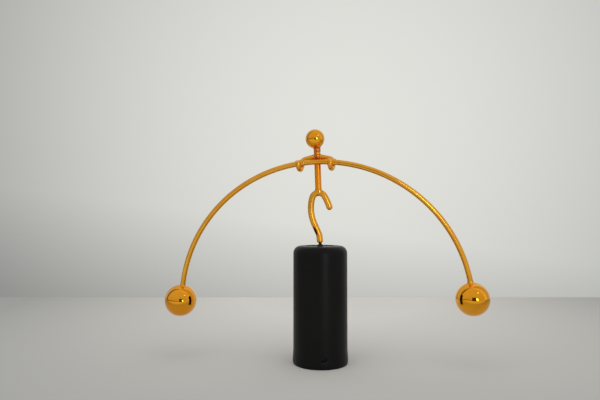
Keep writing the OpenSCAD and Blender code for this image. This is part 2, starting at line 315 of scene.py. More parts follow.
@dataclass
class WireBench:
    """Bench on which a round wire is drawn out, bent and rounded off, as one closed skin.

    The wire's open rim is at `place`, heading along that place's own +Y.
    """

    mesh: BMesh
    place: Matrix
    radius: float
    root: list[BMEdge] = field(init=False)
    rim: list[BMEdge] = field(init=False)

    def __post_init__(self) -> None:
        """Makes the first rim, which is the wire's root."""
        flat = self.place @ turned(-90, "X")
        made = bmesh.ops.create_circle(self.mesh, segments=SIDES, radius=self.radius, matrix=flat)
        self.root = self.rim = rim_of(made["verts"])

    def heading(self) -> Vector:
        """Direction in which the wire runs on."""
        return self.place.to_3x3() @ Vector((0, 1, 0))

    def draw(self, length: float, radius: float | None = None) -> None:
        """Draws the wire straight on, to a new radius if one is given.

        Args:
            length: Length along the wire, which may be 0 for a step or less for a recess.
            radius: Radius at the end of the run.
        """
        self.rim, verts = push_out(self.mesh, self.rim, self.heading() * length)
        self.place = self.place @ moved(0, length, 0)
        if radius is not None:
            share = radius / self.radius
            space = Matrix.Translation(-self.place.translation)
            bmesh.ops.scale(self.mesh, verts=verts, vec=(share,) * 3, space=space)
            self.radius = radius

    def bend(self, step: Bend) -> None:
        """Bends the wire.

        Args:
            step: The bend.
        """
        axis = self.place.to_3x3() @ Vector((0, 0, 1))
        self.rim = sweep(self.mesh, self.rim, self.place @ step.centre(), axis, step.turn, step.facets())
        self.place = self.place @ step.move()

    def follow(self, path: Path) -> None:
        """Draws and bends the wire along a path.

        Args:
            path: The wire's steps.
        """
        for step in path:
            if isinstance(step, Bend):
                self.bend(step)
            else:
                self.draw(step.length)

    def dome(self, ball_r: float, rise: float = 0.0, rings: int = 10) -> None:
        """Closes the wire with part of a ball, outwards or as the floor of a recess.

        Args:
            ball_r: Radius of the ball.
            rise: Height of the rim above the ball's middle.
            rings: Number of rings between the rim and the tip.
        """
        start = math.asin(rise / ball_r)
        height = rise
        for n in range(1, rings + 1):
            angle = start + (math.pi / 2 - start) * n / (rings + 1)
            self.draw(ball_r * math.sin(angle) - height, ball_r * math.cos(angle))
            height = ball_r * math.sin(angle)
        tip = self.place @ Vector((0, ball_r - height, 0))
        verts = push_out(self.mesh, self.rim, Vector())[1]
        bmesh.ops.pointmerge(self.mesh, verts=verts, merge_co=tip)

    def cap(self, rim: list[BMEdge]) -> None:
        """Closes the wire's root or rim with a flat face."""
        bmesh.ops.edgeloop_fill(self.mesh, edges=rim)


# Turned, cut and lumpy shapes


def lathe(mesh: BMesh, outline: list[Span], sides: int) -> None:
    """Turns a closed outline about the Z axis.

    Args:
        mesh: Mesh to build in.
        outline: Corners as (radius, height), in order.
        sides: Number of facets round the axis.
    """
    verts = [mesh.verts.new((r, 0, z)) for r, z in outline]
    edges = [mesh.edges.new((a, b)) for a, b in zip(verts, verts[1:] + verts[:1])]
    sweep(mesh, edges, Vector(), Vector((0, 0, 1)), 360, sides, closed=True)
    bmesh.ops.remove_doubles(mesh, verts=mesh.verts[:], dist=WELD)


def round_ring(mesh: BMesh, r: float, z: float, size: float, segments: int) -> None:
    """Rounds the ring-shaped edge at a radius and height of a turned shape.

    Args:
        mesh: Mesh with the ring.
        r: Radius of the ring.
        z: Height of the ring.
        size: Width of the rounding on each face.
        segments: Number of facets across the rounding.
    """

    def on_ring(v: BMVert) -> bool:
        """True for a vertex of the ring."""
        return abs(v.co.xy.length - r) < 10 * WELD and abs(v.co.z - z) < 10 * WELD

    round_edges(mesh, [e for e in mesh.edges if all(on_ring(v) for v in e.verts)], size, segments)


def roughen(mesh: BMesh, depth: float, size: float, seed: float) -> None:
    """Pushes the skin in and out in soft lumps with finer ones on them, as cooled filler metal has.

    Args:
        mesh: Mesh to change.
        depth: Height of a lump.
        size: Size of a lump.
        seed: Offset into the noise, so that no two brazes are alike.
    """
    mesh.normal_update()
    drift = Vector((seed, 2 * seed, 3 * seed))
    fine_share, fine_scale = 0.45, 2.3
    for v in mesh.verts:
        place = v.co / size + drift
        push = noise.noise(place) + fine_share * noise.noise(place * fine_scale)
        v.co += v.normal * (push * depth)


def holed_ball(mesh: BMesh, centre: Vector, ball_r: float, mouth: Vector, hole_r: float) -> list[BMEdge]:
    """Makes a ball with a round mouth where a rod enters it.

    Args:
        mesh: Mesh to build in.
        centre: Middle of the ball.
        ball_r: Radius of the ball.
        mouth: A point in the direction of the mouth.
        hole_r: Radius of the mouth.

    Returns:
        The rim of the mouth.
    """
    way = (mouth - centre).normalized()
    place = Matrix.Translation(centre) @ way.to_track_quat("Z", "Y").to_matrix().to_4x4()
    bmesh.ops.create_uvsphere(mesh, u_segments=96, v_segments=64, radius=ball_r, matrix=place)
    cut = bmesh.ops.bisect_plane(
        mesh,
        geom=mesh.verts[:] + mesh.edges[:] + mesh.faces[:],
        dist=WELD / 10,
        plane_co=centre + way * math.sqrt(ball_r**2 - hole_r**2),
        plane_no=way,
        clear_outer=True,
    )
    return edges_in(cut["geom_cut"])


def skin_of(ball_r: float, centre: Vector) -> Callable[[float, float], float]:
    """Height of a ball's upper skin at a place (x, y), as a function."""
    return lambda x, y: centre.z + math.sqrt(ball_r**2 - (x - centre.x) ** 2 - (y - centre.y) ** 2)


@dataclass(frozen=True)
class Fillet:
    """Lumpy collar of filler metal round a rod, where it meets a surface.

    The collar stands round +Z with its foot at height 0, and its foot then settles on the
    surface below it.
    """

    rod_r: float
    reach: float
    sleeve_h: float
    edge: float = 0.12
    lump: float = 0.09
    lump_size: float = 0.9
    flare: float = 0.98
    facet: float = 0.3
    side_on: bool = False

    def shape(self, mesh: BMesh, floor: Callable[[float, float], float], seed: float) -> None:
        """Builds the collar.

        Args:
            mesh: Mesh to build in.
            floor: Height of the surface at a place across the rod.
            seed: Offset into the lumps.
        """
        inside = self.rod_r - HAIR
        neck = self.rod_r + self.edge
        foot = neck + self.reach
        outline = [
            (inside, self.sleeve_h),
            (neck, self.sleeve_h),
            (neck, 0),
            (foot, 0),
            (foot, -2 * self.edge),
            (inside, -2 * self.edge),
        ]
        lathe(mesh, outline, SIDES)
        round_ring(mesh, neck, 0, self.reach * self.flare, segments=10)
        upright = [e for e in mesh.edges if abs(e.verts[0].co.z - e.verts[1].co.z) > self.edge * 3]
        cuts = max(2, round(self.sleeve_h / self.facet))
        bmesh.ops.subdivide_edges(mesh, edges=upright, cuts=cuts, use_grid_fill=True)
        for v in mesh.verts:
            r = v.co.xy.length
            if self.side_on and r > neck:
                v.co.y *= neck / r
            v.co.z += floor(v.co.x, v.co.y)
        roughen(mesh, self.lump, self.lump_size, seed)


# Finishes


@dataclass
class Shader:
    """Node tree with short ways to add, set and join its nodes."""

    tree: NodeTree

    def feed(self, target: NodeSocket, value: Feed) -> None:
        """Gives an input its value.

        Args:
            target: The input.
            value: An output to join it to, or a fixed number, colour or direction.
        """
        if isinstance(value, NodeSocket):
            self.tree.links.new(value, target)
        elif target.type == "RGBA":
            target.default_value = (*value, 1)
        else:
            target.default_value = value

    def fill(self, node: Node, inputs: dict[str | int, Feed]) -> None:
        """Gives several inputs of a node their values, each by its name or number."""
        for name, value in inputs.items():
            self.feed(node.inputs[name], value)

    def add(
        self, kind: str, inputs: dict[str | int, Feed] | None = None, **settings: str | bool | NodeTree
    ) -> Node:
        """Adds a node.

        Args:
            kind: Blender's name of the node, without ShaderNode.
            inputs: Values of its inputs.
            settings: Values of the node's own properties.

        Returns:
            The node.
        """
        node = self.tree.nodes.new("ShaderNode" + kind)
        for name, value in settings.items():
            setattr(node, name, value)
        self.fill(node, inputs or {})
        return node

    def maths(self, operation: str, one: Feed, other: Feed = 0.0) -> NodeSocket:
        """Works out a number from one or two, by Blender's name of the operation."""
        return self.add("Math", {0: one, 1: other}, operation=operation).outputs[0]

    def spot(self) -> NodeSocket:
        """Place on the object, in the object's own coordinates."""
        return self.add("TexCoord").outputs["Object"]

    def parts(self, place: NodeSocket) -> tuple[NodeSocket, ...]:
        """The X, Y and Z parts of a place or direction."""
        return tuple(self.add("SeparateXYZ", {"Vector": place}).outputs)

    def reach(self, place: NodeSocket) -> NodeSocket:
        """Distance of a place from the origin."""
        return self.add("VectorMath", {0: place}, operation="LENGTH").outputs["Value"]

    def along(self, way: NodeSocket, line: Way) -> NodeSocket:
        """How far a direction points along a line."""
        return self.add("VectorMath", {0: way, 1: line}, operation="DOT_PRODUCT").outputs["Value"]

    def mapped(
        self, kind: str, at: Way = (0, 0, 0), turn: Way = (0, 0, 0), scale: Way = (1, 1, 1)
    ) -> NodeSocket:
        """The spot scaled, turned and moved (POINT), or measured from such a place (TEXTURE)."""
        values = {"Vector": self.spot(), "Location": at, "Rotation": turn, "Scale": scale}
        return self.add("Mapping", values, vector_type=kind).outputs["Vector"]

    def noise(self, where: NodeSocket, scale: Feed, detail: float, rough: float) -> NodeSocket:
        """Value of a noise, by the scale of its largest layer and the number and share of finer ones."""
        values = {"Vector": where, "Scale": scale, "Detail": detail, "Roughness": rough}
        return self.add("TexNoise", values).outputs["Fac"]

    def spread(
        self, value: NodeSocket, low: Feed, high: Feed, to_low: float = 0.0, to_high: float = 1.0
    ) -> NodeSocket:
        """Maps a number from low and high to to_low and to_high, and holds it between them."""
        ends = {"From Min": low, "From Max": high, "To Min": to_low, "To Max": to_high}
        return self.add("MapRange", {"Value": value, **ends}, clamp=True).outputs["Result"]

    def blend(self, share: NodeSocket, low: Feed, high: Feed) -> NodeSocket:
        """Blends two colours by the share of the second."""
        return self.add("Mix", {"Factor": share, "A": low, "B": high}, data_type="RGBA").outputs["Result"]

    def effect(self, group: NodeTree, values: dict[str, float | Colour]) -> NodeSocket:
        """Output of a shared node group that is given the material's own values."""
        return self.add("Group", values, node_tree=group).outputs[0]


def new_group(
    name: str, inputs: dict[str, float | Colour], output: str, kind: str
) -> tuple[Shader, dict[str, NodeSocket], NodeSocket]:
    """Starts a shader node group with one output.

    Args:
        name: Name of the group.
        inputs: Name and first value of each input, a number or a colour.
        output: Name of the output.
        kind: NodeSocket type of the output.

    Returns:
        The group's shader, what its inputs give by name, and where its output is joined.
    """
    tree = bpy.data.node_groups.new(name, "ShaderNodeTree")
    tree.interface.new_socket(name=output, in_out="OUTPUT", socket_type=kind)
    for label, value in inputs.items():
        coloured = isinstance(value, tuple)
        socket_type = "NodeSocketColor" if coloured else "NodeSocketFloat"
        socket = tree.interface.new_socket(name=label, in_out="INPUT", socket_type=socket_type)
        socket.default_value = (*value, 1) if coloured else value
    given = tree.nodes.new("NodeGroupInput").outputs
    out = tree.nodes.new("NodeGroupOutput").inputs[output]
    return Shader(tree), {label: given[label] for label in inputs}, out


def new_material(name: str) -> tuple[Material, Shader, Node]:
    """Starts a material.

    Args:
        name: Name of the material.

    Returns:
        The material, its shader and its Principled BSDF.
    """
    made = bpy.data.materials.new(name)
    made.use_nodes = True
    return made, Shader(made.node_tree), made.node_tree.nodes["Principled BSDF"]


@dataclass
class Effects:
    """Node groups that more than one finish uses."""

    drift: NodeTree = field(init=False)
    hairlines: NodeTree = field(init=False)
    lumps: NodeTree = field(init=False)

    def __post_init__(self) -> None:
        """Builds the groups once."""
        self.drift = self.build_drift()
        self.hairlines = self.build_hairlines()
        self.lumps = self.build_lumps()

    def build_drift(self) -> NodeTree:
        """Colour that wanders between a light and a deep tone in soft patches.

        Returns:
            The group.
        """
        inputs = {"Light": (0.8, 0.8, 0.8), "Deep": (0.2, 0.2, 0.2), "Scale": 100.0, "Contrast": 0.2}
        s, given, out = new_group("tone_drift", inputs, "Colour", "NodeSocketColor")
        cloud = s.noise(s.spot(), given["Scale"], detail=3, rough=0.55)
        low = s.maths("SUBTRACT", 0.5, given["Contrast"])
        high = s.maths("ADD", 0.5, given["Contrast"])
        s.feed(out, s.blend(s.spread(cloud, low, high), given["Light"], given["Deep"]))
        return s.tree

    def build_hairlines(self) -> NodeTree:
        """Mask of fine, sparse handling marks, longer than wide.

        Returns:
            The group.
        """
        s, given, out = new_group("hairlines", {"Scale": 1500.0}, "Mask", "NodeSocketFloat")
        stretched = s.mapped("POINT", turn=(0.4, 0.7, 0.2), scale=(1.0, 0.12, 0.3))
        streaks = s.noise(stretched, given["Scale"], detail=2, rough=0.6)
        s.feed(out, s.spread(streaks, 0.56, 0.72))
        return s.tree

    def build_lumps(self) -> NodeTree:
        """Height of soft lumps with small pits in them.

        Returns:
            The group.
        """
        inputs = {"Scale": 900.0, "Pit Scale": 2500.0, "Pits": 0.5}
        s, given, out = new_group("lumps_and_pits", inputs, "Height", "NodeSocketFloat")
        where = s.spot()
        pits = s.add("TexVoronoi", {"Vector": where, "Scale": given["Pit Scale"]}, feature="SMOOTH_F1")
        deep = s.maths("MULTIPLY", s.spread(pits.outputs["Distance"], 0.05, 0.4, -1, 0), given["Pits"])
        soft = s.noise(where, given["Scale"], detail=2, rough=0.5)
        s.feed(out, s.maths("ADD", soft, deep))
        return s.tree


@dataclass(frozen=True)
class Finish:
    """Surface finish: two tones in soft patches, fine marks that change the gloss, and relief.

    Scales are repeats in a metre, and relief is in millimetres.
    """

    light: Colour
    deep: Colour
    tone_scale: float
    gloss: Span
    mark_scale: float
    lump_scale: float
    relief: float
    pits: float = 0.0
    pit_scale: float = 2500.0
    contrast: float = 0.2
    metal: float = 0.0
    specular: float = 0.5
    lacquer: float = 0.0

    def material(self, name: str, effects: Effects) -> Material:
        """Builds the material.

        Args:
            name: Name of the material.
            effects: The shared node groups.

        Returns:
            The material.
        """
        made, s, skin = new_material(name)
        marks = s.effect(effects.hairlines, {"Scale": self.mark_scale})
        lumps = {"Scale": self.lump_scale, "Pits": self.pits, "Pit Scale": self.pit_scale}
        height = s.effect(effects.lumps, lumps)
        bump = s.add("Bump", {"Strength": 1.0, "Distance": self.relief * MM, "Height": height})
        values = {
            "Base Color": self.colour(s, effects),
            "Roughness": s.spread(marks, 0, 1, *self.gloss),
            "Metallic": self.metal,
            "Specular IOR Level": self.specular,
            "Coat Weight": self.lacquer,
            "Normal": bump.outputs["Normal"],
        }
        s.fill(skin, values)
        return made

    def colour(self, shader: Shader, effects: Effects) -> NodeSocket:
        """Colour of the surface, in patches of its two tones.

        Args:
            shader: The material's shader.
            effects: The shared node groups.

        Returns:
            The colour.
        """
        values = {
            "Light": self.light,
            "Deep": self.deep,
            "Scale": self.tone_scale,
            "Contrast": self.contrast,
        }
        return shader.effect(effects.drift, values)


@dataclass(frozen=True)
class GoldPlate(Finish):
    """Gold plate, by default as it lies on the drawn wire."""

    tone_scale: float = 110
    gloss: Span = (0.2, 0.25)
    mark_scale: float = 1800
    lump_scale: float = 260
    relief: float = 0.003
    metal: float = 1.0
    lacquer: float = 0.1


@dataclass(frozen=True)
class PaintedReflectionPlate(GoldPlate):
    """Gold plate with a long dark painted reflection of the black base on it, which has soft edges."""

    # Colour of the painted reflection of the black base, a dark patch painted into the gold
    painted_reflection: Colour = (0.02, 0.005, 0.001)
    reflection_at: Matrix = field(default_factory=Matrix)
    reflection_core: float = 0.75

    def colour(self, shader: Shader, effects: Effects) -> NodeSocket:
        """Colour of the surface, dark inside the painted reflection, whose place is scaled to a ball of
        radius 1.

        Args:
            shader: The material's shader.
            effects: The shared node groups.

        Returns:
            The colour.
        """
        at, turn, scale = self.reflection_at.translation, self.reflection_at.to_euler(), self.reflection_at.to_scale()
        reach = shader.reach(shader.mapped("TEXTURE", at, turn, scale))
        dark = shader.spread(reach, self.reflection_core, 1, 1, 0)
        return shader.blend(dark, super().colour(shader, effects), self.painted_reflection)


@dataclass(frozen=True)
class WornCup(Finish):
    """Black plastic that the toe has polished to grey at the middle of the cup."""

    worn: Colour = (0.05, 0.045, 0.04)
    worn_r: float = 0.9
    worn_core: float = 0.4

    def colour(self, shader: Shader, effects: Effects) -> NodeSocket:
        """Colour of the surface, greyer near the axis on which the toe turns.

        Args:
            shader: The material's shader.
            effects: The shared node groups.

        Returns:
            The colour.
        """
        reach = shader.reach(shader.mapped("POINT", scale=(1, 1, 0)))
        grey = shader.spread(reach, self.worn_core * self.worn_r * MM, self.worn_r * MM, 1, 0)
        return shader.blend(grey, super().colour(shader, effects), self.worn)


@dataclass
class Wardrobe:
    """The part's finishes, as one material for each look, with the place of the painted reflection on the
    leg.
    """

    effects: Effects
    reflection_at: Matrix
    materials: dict[Look, Material] = field(default_factory=dict)

    def __post_init__(self) -> None:
        """Builds the materials."""
        for look, finish in {**self.gold(), **self.plain()}.items():
            self.materials[look] = finish.material(look.label, self.effects)

    def gold(self) -> dict[Look, Finish]:
        """Finishes of the gilt wires and balls and of their brazed joints.

        Returns:
            The finish of each look.
        """
        amber, deep_amber = (1.0, 0.44, 0.019), (0.94, 0.36, 0.012)
        pale, deep_pale = (0.97, 0.48, 0.05), (0.88, 0.37, 0.03)
        warm, deep_warm = (0.98, 0.37, 0.03), (0.92, 0.31, 0.02)
        rosy, rust = (0.9, 0.31, 0.04), (0.46, 0.1, 0.02)
        # Two tones and their scale, gloss, scales of the marks and lumps, relief, pits and their scale
        return {
            Look.BALL: GoldPlate(amber, deep_amber, 70, (0.05, 0.12), relief=0.01, lacquer=0.2),
            Look.WIRE: GoldPlate(pale, deep_pale),
            # The leg's gold carries a painted reflection of the black base on its shin
            Look.LEG: PaintedReflectionPlate(pale, deep_pale, gloss=(0.29, 0.36), reflection_at=self.reflection_at),
            Look.SPINE: GoldPlate(warm, deep_warm, gloss=(0.34, 0.42)),
            Look.COLLAR: GoldPlate(pale, deep_pale, 300, (0.18, 0.3), lump_scale=900, relief=0.03),
            Look.BRAZE: GoldPlate(rosy, rust, 900, (0.16, 0.4), 2500, 1300, 0.12, 0.7, 2200, lacquer=0.15),
        }

    def plain(self) -> dict[Look, Finish]:
        """Finishes of the moulded, foam and steel pieces of the base and the toe.

        Returns:
            The finish of each look.
        """
        soot, deep_soot = (0.008, 0.008, 0.008), (0.006, 0.006, 0.0065)
        dull, deep_dull = (0.006, 0.006, 0.006), (0.003, 0.003, 0.003)
        ink, deep_ink = (0.012, 0.006, 0.003), (0.006, 0.003, 0.002)
        foam, deep_foam = (0.02, 0.02, 0.02), (0.008, 0.008, 0.008)
        steel, deep_steel = (0.62, 0.62, 0.62), (0.5, 0.5, 0.5)
        # The toe's steel is painted darker than the turned steel, as painted shade deep in the cup
        shaded_steel, deep_shaded_steel = (0.12, 0.1, 0.08), (0.06, 0.05, 0.04)
        # Two tones and their scale, gloss, scales of the marks and lumps, relief, pits and their scale
        return {
            Look.SHELL: Finish(soot, deep_soot, 60, (0.36, 0.46), 900, 5200, 0.012, specular=0.1),
            Look.PLUG: Finish(dull, deep_dull, 150, (0.5, 0.62), 1200, 3000, 0.02, specular=0.2),
            Look.CUP: WornCup(ink, deep_ink, 900, (0.14, 0.3), 6000, 3000, 0.01, specular=0.25),
            Look.PAD: Finish(foam, deep_foam, 1400, (0.75, 0.9), 2000, 2200, 0.15, 1.0, 1800, specular=0.2),
            Look.STEEL: Finish(steel, deep_steel, 500, (0.12, 0.3), 3500, 900, 0.01, metal=1.0),
            Look.TOE: Finish(shaded_steel, deep_shaded_steel, 900, (0.2, 0.4), 3500, 900, 0.01, metal=1.0),
        }

    def dress(self, node: Object, look: Look) -> None:
        """Gives a CAD node that stays its finish.

        Args:
            node: The CAD node's object.
            look: The finish.
        """
        for place in node.material_slots:
            place.material = self.materials[look]
        log.info("%s keeps its CAD shape and gets %s", node.name, self.materials[look].name)

    def finish(
        self, name: str, mesh: BMesh, place: Matrix, node: str, look: Look, body: Body = Body.FIGURE
    ) -> None:
        """Turns a bench mesh into a finished piece that stands for a CAD node.

        Args:
            name: Name of the piece.
            mesh: The mesh in millimetres, which is used up.
            place: From the mesh's own place to its place on the part.
            node: CAD node that it stands for.
            look: Its finish.
            body: CAD body that it rides on.
        """
        bmesh.ops.remove_doubles(mesh, verts=mesh.verts[:], dist=2 * WELD)
        piece = to_object(name, mesh, place, self.materials[look])
        piece.data.shade_smooth()
        piece.data.set_sharp_from_angle(angle=SMOOTH_ANGLE)
        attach(piece, body.value)
        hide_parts(node)
        log.info("%s stands for %s, %d faces", name, node, len(piece.data.polygons))


# The part


@dataclass(frozen=True)
class Base:
    """Black base: a moulded sleeve with a plug, ballast and pad in it, and a cup on top."""

    base_d: float = 30.5
    base_h: float = 65.5
    side_wall: float = 2.0
    top_wall: float = 3.0
    edge_r: float = 4.0
    dish_d: float = 16.0
    dish_depth: float = 0.35
    foot_flare: float = 0.4
    foot_widest_z: float = 1.6
    foot_h: float = 8.0
    rib_t: float = 1.4
    rib_depth: float = 3.0
    rib_z: float = 28.8
    window_w: float = 3.5
    window_h: float = 2.7
    window_z: float = 5.65
    window_turn: float = 12.0
    stem_bore_d: float = 2.5
    dish_edge: float = 0.3
    dish_corner: float = 0.25
    flare_edge: float = 0.8
    foot_edge: float = 0.12
    window_edge: float = 0.12
    rib_edge: float = 0.15

    def build(self, wardrobe: Wardrobe, nodes: dict[str, Object]) -> None:
        """Builds the sleeve, and dresses the pieces in it and on it.

        Args:
            wardrobe: The finishes.
            nodes: The CAD nodes.
        """
        mesh = bmesh.new()
        self.turn_sleeve(mesh)
        self.cut_window(mesh)
        self.add_ribs(mesh)
        wardrobe.finish("black_sleeve", mesh, Matrix(), "base_sleeve", Look.SHELL, Body.BASE)
        kept = {
            "base_cap": Look.PLUG,
            "ballast_slug": Look.STEEL,
            "foot_pad": Look.PAD,
            "pivot_cup": Look.CUP,
            "toe_point": Look.TOE,
        }
        for name, look in kept.items():
            wardrobe.dress(nodes[name], look)

    def turn_sleeve(self, mesh: BMesh) -> None:
        """Turns the sleeve's shell and rounds its edges.

        Args:
            mesh: Mesh to build in.
        """
        outer, bore = self.base_d / 2, self.base_d / 2 - self.side_wall
        stem, dish = self.stem_bore_d / 2, self.dish_d / 2
        dish_z, under = self.base_h - self.dish_depth, self.base_h - self.top_wall
        outline = [
            (stem, dish_z),
            (dish, dish_z),
            (dish, self.base_h),
            (outer, self.base_h),
            (outer, self.foot_h),
            (outer + self.foot_flare, self.foot_widest_z),
            (outer, 0),
            (bore, 0),
            (bore, self.foot_widest_z),
            (bore, self.foot_h),
            (bore, under),
            (stem, under),
        ]
        lathe(mesh, outline, sides=180)
        round_ring(mesh, outer, self.base_h, self.edge_r, segments=18)
        round_ring(mesh, dish, self.base_h, self.dish_edge, segments=4)
        round_ring(mesh, dish, dish_z, self.dish_corner, segments=4)
        round_ring(mesh, outer + self.foot_flare, self.foot_widest_z, self.flare_edge, segments=5)
        round_ring(mesh, outer, 0, self.foot_edge, segments=2)

    def cut_window(self, mesh: BMesh) -> None:
        """Cuts the window through the sleeve's wall.

        Args:
            mesh: The sleeve.
        """
        turn = turned(self.window_turn, "Z")
        back = turn.inverted()
        w, h = self.window_w / 2, self.window_h / 2
        corners = [Vector(c) for c in ((-w, 0, -h), (w / 2, 0, -h), (w, 0, 0), (w / 2, 0, h), (-w, 0, h))]
        sides = []
        for here, there in zip(corners, corners[1:] + corners[:1]):
            run = there - here
            sides.append((here + Vector((0, 0, self.window_z)), Vector((run.z, 0, -run.x)).normalized()))

        def near(face: BMFace) -> bool:
            """True for a face of the wall close to the window."""
            middle = back @ face.calc_center_median()
            return abs(middle.x) < self.window_w and middle.y < 0 and middle.z < self.foot_h

        for corner, outwards in sides:
            faces = [f for f in mesh.faces if near(f)]
            edges = list(dict.fromkeys(e for f in faces for e in f.edges))
            bmesh.ops.bisect_plane(
                mesh,
                geom=verts_of(edges) + edges + faces,
                dist=WELD,
                plane_co=turn @ corner,
                plane_no=turn.to_3x3() @ outwards,
            )

        def inside(face: BMFace) -> bool:
            """True for a face within the window."""
            middle = back @ face.calc_center_median()
            return all((middle - corner).dot(outwards) < 0 for corner, outwards in sides)

        gone = [f for f in mesh.faces if near(f) and inside(f)]
        bmesh.ops.delete(mesh, geom=gone, context="FACES")
        rims = [e for e in mesh.edges if e.is_boundary]
        middle_r = self.base_d / 2 - self.side_wall / 2
        outer_rim = [e for e in rims if e.verts[0].co.xy.length > middle_r]
        bmesh.ops.bridge_loops(mesh, edges=rims)
        round_edges(mesh, outer_rim, self.window_edge, segments=2)

    def add_ribs(self, mesh: BMesh) -> None:
        """Adds the three ribs that steady the ballast from above.

        Args:
            mesh: The sleeve.
        """
        bore = self.base_d / 2 - self.side_wall
        top = self.base_h - self.top_wall / 2
        size = (self.rib_depth + self.side_wall / 2, self.rib_t, top - self.rib_z)
        for turn in (0, 120, 240):
            middle = moved(bore - self.rib_depth + size[0] / 2, 0, (top + self.rib_z) / 2)
            place = turned(self.window_turn + 90 + turn, "Z") @ middle @ Matrix.Diagonal((*size, 1))
            made = bmesh.ops.create_cube(mesh, size=1, matrix=place)
            round_edges(mesh, rim_of(made["verts"]), self.rib_edge, segments=2)


@dataclass(frozen=True)
class Stance:
    """How the figure stands on the cup: its nod and lean put the mass straight below the toe."""

    pivot_z: float = 67.0
    nod: float = 7.0635
    lean: float = -1.3413

    def place(self) -> Matrix:
        """From the figure's own frame, whose origin is the pivot, to the part's frame."""
        return moved(0, 0, self.pivot_z) @ turned(self.lean, "Y") @ turned(self.nod, "X")


@dataclass(frozen=True)
class Legs:
    """One wire that is both legs: up from the toe, over the hip and down the raised leg."""

    wire_d: float = 3.6
    toe_end_r: float = 1.25
    toe_end_z: float = 0.45
    toe_full_z: float = 1.0
    toe_h: float = 4.2
    toe_lean: float = 4.5
    socket_r: float = 0.95
    shin_lean: float = 22.3
    ankle_r: float = 3.0
    shin_h: float = 6.5
    knee_r: float = 22.0
    thigh_lean: float = 17.0
    hip_r: float = 3.8
    raised_slant: float = 30.0
    raised_end_slant: float = 15.0
    raised_r: float = 26.0
    toe_forward: float = 1.5
    # Place and size of the dark painted reflection of the black base on the shin
    reflection_up: float = 2.6
    reflection_left: float = 0.45
    reflection_front: float = 0.8
    reflection_size: Way = (0.8, 3.1, 1.1)

    def rising(self) -> Path:
        """Steps from the toe's top to the top of the hip.

        Returns:
            The steps.
        """
        return (
            Bend(self.ankle_r, self.shin_lean - self.toe_lean),
            Straight(self.shin_h),
            Bend(self.knee_r, -self.shin_lean - self.thigh_lean),
            Bend(self.hip_r, self.thigh_lean - 90),
        )

    def raised(self) -> Path:
        """Steps from the top of the hip to the end of the raised leg.

        Returns:
            The steps.
        """
        return (
            Bend(self.hip_r, self.raised_slant - 90),
            Bend(self.raised_r, self.raised_end_slant - self.raised_slant),
        )

    def hip_flat(self) -> Vector:
        """Top of the hip in the leg's own plane, as (across, along)."""
        return end_of(self.rising(), turned(self.toe_lean, "Z") @ moved(0, self.toe_h, 0)).translation

    def tilt(self) -> float:
        """Tilt of the leg's plane from upright, in degrees."""
        return math.degrees(math.asin(self.toe_forward / self.hip_flat().y))

    def hip(self) -> Vector:
        """Top of the hip in the figure's frame.

        Returns:
            The point.
        """
        flat = self.hip_flat()
        along = flat.y * math.cos(math.radians(self.tilt()))
        return Vector((flat.x, self.toe_forward, along))

    def saddle(self, x: float, y: float) -> float:
        """Height of the hip's skin above its middle line.

        Args:
            x: Place across the arch.
            y: Place along the arch's axle.

        Returns:
            The height.
        """
        wire_r = self.wire_d / 2
        arch_r = self.hip_r + math.sqrt(max(0.0, wire_r**2 - min(abs(y), wire_r) ** 2))
        return math.sqrt(max(0.0, arch_r**2 - x**2)) - self.hip_r

    def place(self, stance: Matrix) -> Matrix:
        """Place of the toe, with the leg's wire heading along +Y and the front at +Z."""
        return stance @ turned(90 - self.tilt(), "X") @ turned(self.toe_lean, "Z")

    def painted_reflection(self, stance: Matrix) -> Matrix:
        """Place and size in metres of the dark painted reflection of the black base on the shin.

        It is put to the left and front by shares of the wire's radius.

        Args:
            stance: Place of the figure.

        Returns:
            The place, scaled so that the painted reflection is a ball of radius 1.
        """
        path = (Straight(self.toe_h), Bend(self.ankle_r, self.shin_lean - self.toe_lean))
        shin = end_of(path, self.place(stance))
        wire_r = self.wire_d / 2
        off = moved(-self.reflection_left * wire_r, self.reflection_up, self.reflection_front * wire_r)
        return TO_METRES @ shin @ off @ Matrix.Diagonal((*self.reflection_size, 1))

    def build(self, wardrobe: Wardrobe, stance: Matrix) -> None:
        """Builds the leg wire and the brazed joint on its hip.

        Args:
            wardrobe: The finishes.
            stance: Place of the figure.
        """
        mesh = bmesh.new()
        toe = moved(0, self.toe_end_z, 0)
        wire = WireBench(mesh, toe, self.toe_end_r)
        recess = WireBench(mesh, toe, math.sqrt(self.socket_r**2 - self.toe_end_z**2))
        bmesh.ops.bridge_loops(mesh, edges=wire.rim + recess.rim)
        wire.draw(self.toe_full_z - self.toe_end_z, self.wire_d / 2)
        wire.draw(self.toe_h - self.toe_full_z)
        wire.follow(self.rising() + self.raised())
        wire.dome(self.wire_d / 2)
        recess.dome(self.socket_r, self.toe_end_z)
        wardrobe.finish("gilt_leg_wire", mesh, self.place(stance), "leg_wire", Look.LEG)

        mesh = bmesh.new()
        collar = Fillet(self.wire_d / 2, reach=0.9, sleeve_h=1.1, edge=0.06, lump=0.05, side_on=True)
        collar.shape(mesh, self.saddle, seed=1.7)
        place = stance @ Matrix.Translation(self.hip())
        wardrobe.finish("brazed_hip", mesh, place, "hip_braze", Look.COLLAR)


